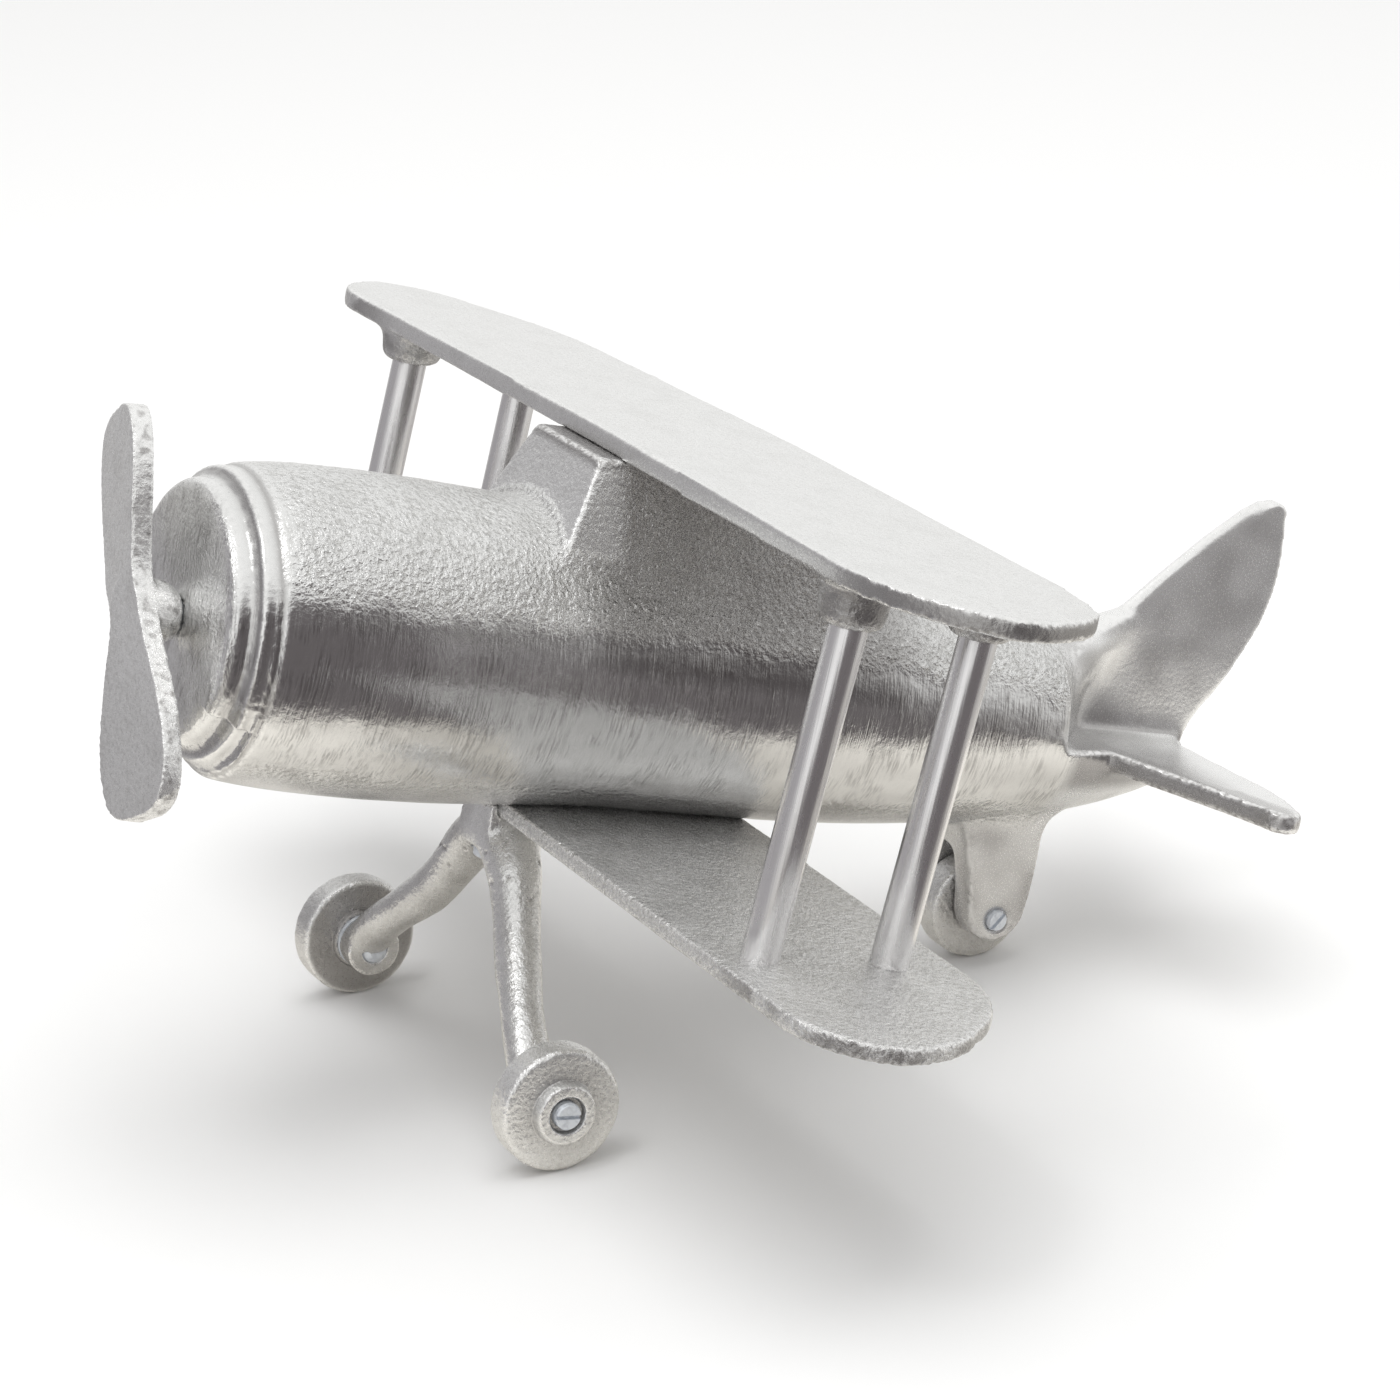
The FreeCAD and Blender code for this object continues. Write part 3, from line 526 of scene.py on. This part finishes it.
def make_screw(node, thread_from, slot_degrees):
    """Headless slotted screw: pointed inner end, chamfered outer end and a sawn slot across it. The
    thread is rolled from thread_from mm beyond the middle outwards."""
    centre, size = node_middle(node)
    radius = size.z / 2 / MM
    half = size.x / 2 / MM
    side = 1 if centre.x >= 0 else -1
    pitch, depth, around = 1.0, 0.32, 40
    rings = int(2 * half / 0.125)
    vertices, faces = [], []
    for ring in range(rings + 1):
        along = -half + 2 * half * ring / rings
        for step in range(around):
            turn = step / around
            wave = abs(((along / pitch + turn) % 1.0) * 2 - 1)
            cut = depth * wave if along > thread_from else 0.0
            chamfer = max(along - (half - 0.5), 0) * 0.8
            point = max(1.6 - half - along, 0) * 0.9
            out = radius - max(cut, chamfer, point)
            angle = 2 * math.pi * turn
            vertices.append((side * along * MM, out * MM * math.cos(angle), out * MM * math.sin(angle)))
    for ring in range(rings):
        for step in range(around):
            after = (step + 1) % around
            a, b = ring * around, (ring + 1) * around
            faces.append((a + step, a + after, b + after, b + step)[::side])
    faces.append(list(range(around))[::-side])
    faces.append([rings * around + step for step in range(around)][::side])
    mesh = bpy.data.meshes.new(node + "_threaded")
    mesh.from_pydata(vertices, [], faces)
    obj = new_object(node + "_threaded", mesh)
    obj.location = centre
    cut_slot(obj, Vector((side * half * MM, 0, 0)), math.radians(slot_degrees))
    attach(obj, "airframe")
    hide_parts(node)
    return obj


def face_outward(mesh):
    """Turn every face of a closed mesh to look out of it."""
    work = bmesh.new()
    work.from_mesh(mesh)
    bmesh.ops.recalc_face_normals(work, faces=work.faces)
    work.to_mesh(mesh)
    work.free()


def cut_slot(obj, end, slot_angle):
    """Saw a screwdriver slot, 0.9 mm wide and 1 mm deep, across the end face."""
    width, depth, reach = 0.9, 1.0, 8.0
    way = Vector((0, math.cos(slot_angle), math.sin(slot_angle)))
    across = Vector((0, -math.sin(slot_angle), math.cos(slot_angle)))
    corners = []
    for x in (-depth, depth):
        for a, b in ((-1, -1), (1, -1), (1, 1), (-1, 1)):
            step = Vector((x, 0, 0)) + way * (a * reach) + across * (b * width / 2)
            corners.append(end + step * MM)
    sides = [(0, 1, 2, 3), (7, 6, 5, 4), (0, 4, 5, 1), (1, 5, 6, 2), (2, 6, 7, 3), (3, 7, 4, 0)]
    mesh = bpy.data.meshes.new("slot")
    mesh.from_pydata([tuple(c) for c in corners], [], sides)
    face_outward(mesh)
    face_outward(obj.data)
    saw = new_object("slot", mesh)
    saw.location = obj.location
    cut = obj.modifiers.new("slot", "BOOLEAN")
    cut.operation = "DIFFERENCE"
    cut.solver = "EXACT"
    cut.object = saw
    bpy.context.view_layer.update()
    graph = bpy.context.evaluated_depsgraph_get()
    result = bpy.data.meshes.new_from_object(obj.evaluated_get(graph))
    obj.modifiers.clear()
    obj.data = result
    bpy.data.objects.remove(saw)


# ---------------------------------------------------------------- materials
class Nodes:
    """Short way to add and wire shader nodes."""

    def __init__(self, name):
        self.material = bpy.data.materials.new(name)
        self.material.use_nodes = True
        self.tree = self.material.node_tree
        self.shader = self.tree.nodes["Principled BSDF"]

    def add(self, kind, inputs=(), **settings):
        node = self.tree.nodes.new(kind)
        for key, value in settings.items():
            setattr(node, key, value)
        for key, value in dict(inputs).items():
            self.feed(node.inputs[key], value)
        return node

    def feed(self, socket, value):
        if isinstance(value, bpy.types.NodeSocket):
            self.tree.links.new(value, socket)
        else:
            socket.default_value = value

    def math(self, operation, a, b=0.0, clamp=False):
        return self.add("ShaderNodeMath", {0: a, 1: b}, operation=operation, use_clamp=clamp).outputs[0]

    def mix(self, share, a, b):
        """Between two numbers."""
        node = self.add("ShaderNodeMix", {0: share, 2: a, 3: b}, data_type="FLOAT")
        return node.outputs[0]

    def tint(self, share, a, b):
        """Between two colours."""
        node = self.add("ShaderNodeMix", {0: share, 6: a, 7: b}, data_type="RGBA")
        return node.outputs[2]

    def painted(self, name):
        return self.add("ShaderNodeAttribute", attribute_name=name).outputs["Fac"]

    def noise(self, vector, scale, detail=3.0, roughness=0.5):
        inputs = {"Vector": vector, "Scale": scale, "Detail": detail, "Roughness": roughness}
        return self.add("ShaderNodeTexNoise", inputs).outputs["Fac"]

    def stretch(self, value, low, high):
        inputs = {"Value": value, "From Min": low, "From Max": high}
        return self.add("ShaderNodeMapRange", inputs).outputs[0]

    def body_millimetres(self, scale=(1, 1, 1)):
        """Position in the plane's own frame, in mm, stretched by scale."""
        where = self.add("ShaderNodeTexCoord").outputs["Object"]
        turn = Matrix.Rotation(PITCH, 3, "X")
        origin = -(turn @ NOSE) / MM
        placed = self.add("ShaderNodeMapping", {
            "Vector": where, "Location": origin, "Rotation": (PITCH, 0, 0), "Scale": (1 / MM,) * 3,
        }).outputs[0]
        return self.add("ShaderNodeVectorMath", {0: placed, 1: scale}, operation="MULTIPLY").outputs[0]

    def bump(self, height, distance, below=None):
        """Relief of that many mm, on top of the relief below."""
        inputs = {"Height": height, "Distance": distance * MM, "Strength": 1.0}
        if below is not None:
            inputs["Normal"] = below
        return self.add("ShaderNodeBump", inputs).outputs[0]


ALUMINIUM = (0.90, 0.90, 0.895, 1)
DULL_ALUMINIUM = (0.62, 0.615, 0.60, 1)
# Dark grey of painted shade and painted dark reflections, also of brushing streaks and stains.
SHADE_AND_MARK_GREY = (0.24, 0.225, 0.22, 1)
# Near white of worn bright edges and of painted highlights.
POLISHED_AND_HIGHLIGHT = (0.96, 0.955, 0.95, 1)
DRAWN_ALUMINIUM = (0.90, 0.89, 0.895, 1)
SCUFFED_ALUMINIUM = (0.66, 0.65, 0.64, 1)
ZINC = (0.80, 0.835, 0.885, 1)
DULL_ZINC = (0.58, 0.61, 0.66, 1)


def cast_material(name, base_roughness, grain, speckle):
    nodes = Nodes(name)
    place = nodes.body_millimetres()
    pebble, brushed = nodes.painted("pebble"), nodes.painted("brushed")
    dark, edge, matt = nodes.painted("dark"), nodes.painted("edge"), nodes.painted("matt")

    cloud = nodes.noise(place, 0.10, 4)
    sand = nodes.noise(place, 0.9, 3, 0.55)
    fine = nodes.noise(place, 3.4, 2)
    belt = nodes.noise(nodes.body_millimetres((0.5, 2.0, 0.13)), 1.0, 3, 0.6)
    scratch = nodes.noise(nodes.body_millimetres((0.6, 2.0, 0.05)), 1.0, 2)

    patchy = nodes.math("MULTIPLY", nodes.stretch(cloud, 0.48, 0.72), nodes.mix(pebble, 0.12, 0.35))
    colour = nodes.tint(patchy, ALUMINIUM, DULL_ALUMINIUM)
    speck = nodes.math("MULTIPLY", nodes.stretch(sand, 0.52, 0.36), nodes.mix(pebble, 0.10, speckle), True)
    colour = nodes.tint(speck, colour, DULL_ALUMINIUM)
    worked = nodes.stretch(nodes.noise(place, 0.14, 2), 0.40, 0.62)
    lined = nodes.math("MULTIPLY", nodes.stretch(belt, 0.45, 0.62), worked)
    streak = nodes.math("MULTIPLY", lined, brushed, True)
    colour = nodes.tint(nodes.math("MULTIPLY", streak, 0.5), colour, SHADE_AND_MARK_GREY)
    # The dark attribute: painted shade and painted dark reflections, with some stains.
    painted_shade_and_stain = nodes.math("MULTIPLY", dark, nodes.mix(streak, 0.75, 0.95))
    colour = nodes.tint(painted_shade_and_stain, colour, SHADE_AND_MARK_GREY)
    # Brightened edges: real worn edges, and painted highlights where the edge attribute carries them.
    bright = nodes.math("MULTIPLY", nodes.stretch(edge, 0.4, 0.95), nodes.stretch(sand, 0.40, 0.56), True)
    colour = nodes.tint(nodes.math("MULTIPLY", bright, 0.8), colour, POLISHED_AND_HIGHLIGHT)
    nodes.feed(nodes.shader.inputs["Base Color"], colour)

    rough = nodes.mix(pebble, base_roughness, base_roughness + 0.04)
    rough = nodes.math("ADD", rough, nodes.math("MULTIPLY", nodes.stretch(fine, 0.35, 0.7), 0.10))
    rough = nodes.mix(nodes.math("MULTIPLY", bright, 0.6), rough, 0.16)
    belted = nodes.mix(nodes.stretch(scratch, 0.4, 0.65), 0.13, 0.24)
    rough = nodes.mix(nodes.math("MULTIPLY", brushed, 0.9), rough, belted)
    nodes.feed(nodes.shader.inputs["Roughness"], rough)

    relief = nodes.bump(nodes.math("MULTIPLY", sand, nodes.mix(pebble, 0.06, 1.0)), 1.0 * grain)
    tooth = nodes.math("MULTIPLY", fine, nodes.mix(pebble, 0.3, 1.0))
    relief = nodes.bump(tooth, 0.05 * grain, relief)
    belt_depth = nodes.math("MULTIPLY", brushed, nodes.mix(worked, 0.25, 1.0))
    relief = nodes.bump(nodes.math("MULTIPLY", belt, belt_depth), 0.13, relief)
    nodes.feed(nodes.shader.inputs["Normal"], relief)
    nodes.feed(nodes.shader.inputs["Metallic"], nodes.mix(matt, 1.0, 0.0))
    return nodes.material


def rod_material():
    """Drawn rod: long faint die lines and small scuffs."""
    nodes = Nodes("drawn_rod")
    lines = nodes.noise(nodes.body_millimetres((2.2, 2.2, 0.015)), 1.0, 3, 0.6)
    scuff = nodes.noise(nodes.body_millimetres((0.5, 0.5, 0.12)), 1.0, 3)
    dull = nodes.math("MULTIPLY", nodes.stretch(scuff, 0.5, 0.75), 0.25)
    nodes.feed(nodes.shader.inputs["Base Color"], nodes.tint(dull, DRAWN_ALUMINIUM, SCUFFED_ALUMINIUM))
    rough = nodes.math("ADD", 0.24, nodes.math("MULTIPLY", nodes.stretch(scuff, 0.35, 0.8), 0.08))
    nodes.feed(nodes.shader.inputs["Roughness"], rough)
    nodes.feed(nodes.shader.inputs["Normal"], nodes.bump(lines, 0.05))
    nodes.shader.inputs["Metallic"].default_value = 1.0
    return nodes.material


def zinc_material():
    """Zinc plated steel: cool grey with faint mottling."""
    nodes = Nodes("zinc_plate")
    mottle = nodes.noise(nodes.body_millimetres(), 0.9, 4)
    turned = nodes.noise(nodes.body_millimetres((1, 4, 4)), 1.0, 2)
    plated = nodes.tint(nodes.stretch(mottle, 0.45, 0.75), ZINC, DULL_ZINC)
    nodes.feed(nodes.shader.inputs["Base Color"], plated)
    nodes.feed(nodes.shader.inputs["Roughness"], nodes.stretch(mottle, -0.6, 2.2))
    nodes.feed(nodes.shader.inputs["Normal"], nodes.bump(turned, 0.02))
    nodes.shader.inputs["Metallic"].default_value = 0.45
    return nodes.material


def card_material(name, shade):
    """Matt card with a faint tooth."""
    nodes = Nodes(name)
    tooth = nodes.noise(nodes.add("ShaderNodeTexCoord").outputs["Object"], 900.0, 2)
    nodes.shader.inputs["Base Color"].default_value = shade
    nodes.shader.inputs["Roughness"].default_value = 0.9
    nodes.feed(nodes.shader.inputs["Normal"], nodes.bump(tooth, 0.02))
    return nodes.material


def wear(obj, material):
    obj.data.materials.clear()
    obj.data.materials.append(material)


# ---------------------------------------------------------------- the plane
satin = cast_material("cast_satin", 0.20, 1.0, 0.75)
fine_satin = cast_material("cast_fine", 0.24, 0.6, 0.5)
rod_finish = rod_material()
zinc_finish = zinc_material()

wear(make_fuselage(), satin)
wear(make_wing("upper_wing", 11, 0.018, UPPER_WING_UNDER), fine_satin)
wear(make_wing("lower_wing", 51, 0.055, LOWER_WING_UNDER), satin)
wear(make_landing_gear(), fine_satin)
wear(make_propeller(), fine_satin)
MAIN_WHEEL = {"half": 3.8, "hub_radius": 6.6, "bore": 3.05, "recess_radius": 4.1, "recess_depth": 1.6}
TAIL_WHEEL = {"half": 4.1, "hub_radius": 5.0, "bore": 2.55, "recess_radius": 2.95, "recess_depth": 0.4}
# The far wheel gets the most painted shade, the tail wheel some, the near wheel almost none.
wear(make_wheel("wheel_left", **MAIN_WHEEL, painted_shade=0.03), fine_satin)
wear(make_wheel("wheel_right", **MAIN_WHEEL, painted_shade=0.9), fine_satin)
wear(make_wheel("tail_wheel", **TAIL_WHEEL, painted_shade=0.35), fine_satin)
wear(make_screw("axle_screw_left", thread_from=0.0, slot_degrees=-10), zinc_finish)
wear(make_screw("axle_screw_right", thread_from=0.0, slot_degrees=-35), zinc_finish)
wear(make_screw("tail_axle_screw", thread_from=6.0, slot_degrees=40), zinc_finish)


def keep_node(name, material, bevel):
    """A CAD node that stays, with its sharp edges broken and its own finish."""
    obj = frame["nodes"][name]
    weld = obj.modifiers.new("weld", "WELD")
    weld.merge_threshold = 0.002 * MM
    rounding = obj.modifiers.new("broken_edges", "BEVEL")
    rounding.width = bevel * MM
    rounding.segments = 2
    rounding.limit_method = "ANGLE"
    rounding.angle_limit = math.radians(40)
    if obj.material_slots:
        for slot in obj.material_slots:
            slot.material = material
    else:
        obj.data.materials.append(material)


for strut in ("strut_left_front", "strut_left_rear", "strut_right_front", "strut_right_rear"):
    keep_node(strut, rod_finish, 0.15)
for screw in ("gear_screw", "wing_screw", "strut_screws", "propeller_shaft"):
    keep_node(screw, zinc_finish, 0.12)
for washer in ("axle_washer_left", "axle_washer_right"):
    keep_node(washer, zinc_finish, 0.2)

# ---------------------------------------------------------------- floor, light and camera
FLOOR_SIZE = 8.0
bpy.ops.mesh.primitive_plane_add(size=FLOOR_SIZE, location=(0, 0, 0))
floor = bpy.context.object
floor.name = "floor"
wear(floor, card_material("white_floor", (0.93, 0.93, 0.93, 1)))


def direction(azimuth, elevation):
    """Unit vector out to a place round the plane; azimuth 0 is ahead of the nose, 90 to its left."""
    a, e = math.radians(azimuth), math.radians(elevation)
    return Vector((math.sin(a) * math.cos(e), -math.cos(a) * math.cos(e), math.sin(e)))


ROOM = (0.90, 0.90, 0.89, 1)
GROUND = (0.50, 0.48, 0.45, 1)
ZONES = [   # azimuth, elevation, degrees of full strength, degrees where it has faded, colour
    (-32, -6, 34, 72, (0.36, 0.35, 0.36, 1)),
    (100, -14, 33, 53, (0.15, 0.137, 0.140, 1)),
]


def make_world():
    """White room with a grey end ahead of the nose and a dark side where the camera stands."""
    world = bpy.data.worlds.new("studio")
    bpy.context.scene.world = world
    world.use_nodes = True
    tree = world.node_tree
    where = tree.nodes.new("ShaderNodeTexCoord").outputs["Generated"]

    def facing(way, start, end):
        """Fades from 0 to 1 as the cosine of the angle to that way goes from start to end."""
        dot = tree.nodes.new("ShaderNodeVectorMath")
        dot.operation = "DOT_PRODUCT"
        dot.inputs[1].default_value = way
        tree.links.new(where, dot.inputs[0])
        fade = tree.nodes.new("ShaderNodeMapRange")
        fade.interpolation_type = "SMOOTHSTEP"
        fade.inputs["From Min"].default_value = start
        fade.inputs["From Max"].default_value = end
        tree.links.new(dot.outputs["Value"], fade.inputs["Value"])
        return fade.outputs[0]

    def blend(share, under, over):
        mix = tree.nodes.new("ShaderNodeMix")
        mix.data_type = "RGBA"
        mix.inputs[7].default_value = over
        tree.links.new(share, mix.inputs[0])
        if isinstance(under, bpy.types.NodeSocket):
            tree.links.new(under, mix.inputs[6])
        else:
            mix.inputs[6].default_value = under
        return mix.outputs[2]

    colour = blend(facing(Vector((0, 0, -1)), -0.1, 0.5), ROOM, GROUND)
    for azimuth, elevation, full, faded, shade in ZONES:
        start, end = math.cos(math.radians(faded)), math.cos(math.radians(full))
        colour = blend(facing(direction(azimuth, elevation), start, end), colour, shade)
    tree.links.new(colour, tree.nodes["Background"].inputs[0])
    tree.nodes["Background"].inputs[1].default_value = 1.0


make_world()


def make_card():
    """White card right under the plane: only reflections see it, the floor itself hides from them."""
    half_width, ahead, behind, lift = 0.112, 0.20, 0.20, 0.0002
    corners = [(-half_width, -ahead, lift), (half_width, -ahead, lift),
               (half_width, behind, lift), (-half_width, behind, lift)]
    mesh = bpy.data.meshes.new("card")
    mesh.from_pydata(corners, [], [(0, 1, 2, 3)])
    card = new_object("card", mesh)
    card.visible_camera = False
    card.visible_shadow = False
    card.visible_diffuse = False
    return card


card = make_card()
wear(card, card_material("warm_card", (0.90, 0.87, 0.81, 1)))
floor.visible_glossy = False


def soft_light(name, place, target, size, watts, seen):
    lamp = bpy.data.lights.new(name, "AREA")
    lamp.shape = "DISK"
    lamp.size = size
    lamp.energy = watts
    obj = bpy.data.objects.new(name, lamp)
    bpy.context.scene.collection.objects.link(obj)
    obj.location = place
    obj.rotation_euler = (target - place).to_track_quat("-Z", "Y").to_euler()
    obj.visible_glossy = seen


middle = (cad_box[0] + cad_box[1]) / 2
soft_light("overhead", middle + Vector((0, 0, 1.6)), middle, 1.6, 12.0, False)
soft_light("key", middle + direction(20, 62) * 1.3, middle, 0.35, 1.2, True)

# Camera: a 119 mm lens ahead of the plane and to its left, rolled a little. Distances are in metres.
CAMERA_AZIMUTH = 63.85176
CAMERA_ELEVATION = 19.82781
CAMERA_ROLL = -1.77238
CAMERA_PITCH = 15.00595         # the nose-up angle those three were measured at
CAMERA_DISTANCE = 0.9519832
CAMERA_RIGHT = 0.1076958        # from the nose to the view's centre line, along the view's own axes
CAMERA_RISE = -0.0175859
LENS = 119.2265


def make_camera():
    back = direction(CAMERA_AZIMUTH, CAMERA_ELEVATION)
    right = Vector((0, 0, 1)).cross(back).normalized()
    up = back.cross(right)
    roll = math.radians(CAMERA_ROLL)
    rolled_right = right * math.cos(roll) + up * math.sin(roll)
    rolled_up = up * math.cos(roll) - right * math.sin(roll)
    settle = Matrix.Rotation(math.radians(CAMERA_PITCH) - PITCH, 3, "X")
    axes = [settle @ v for v in (rolled_right, rolled_up, back)]
    place = NOSE + axes[0] * CAMERA_RIGHT + axes[1] * CAMERA_RISE + axes[2] * CAMERA_DISTANCE
    lens = bpy.data.cameras.new("camera")
    lens.lens = LENS
    lens.sensor_width = 36.0
    lens.clip_start = 0.01
    lens.clip_end = 50.0
    camera = bpy.data.objects.new("camera", lens)
    bpy.context.scene.collection.objects.link(camera)
    camera.matrix_world = Matrix.Translation(place) @ Matrix(axes).transposed().to_4x4()
    bpy.context.scene.camera = camera


make_camera()
bpy.context.scene.view_settings.view_transform = "Standard"
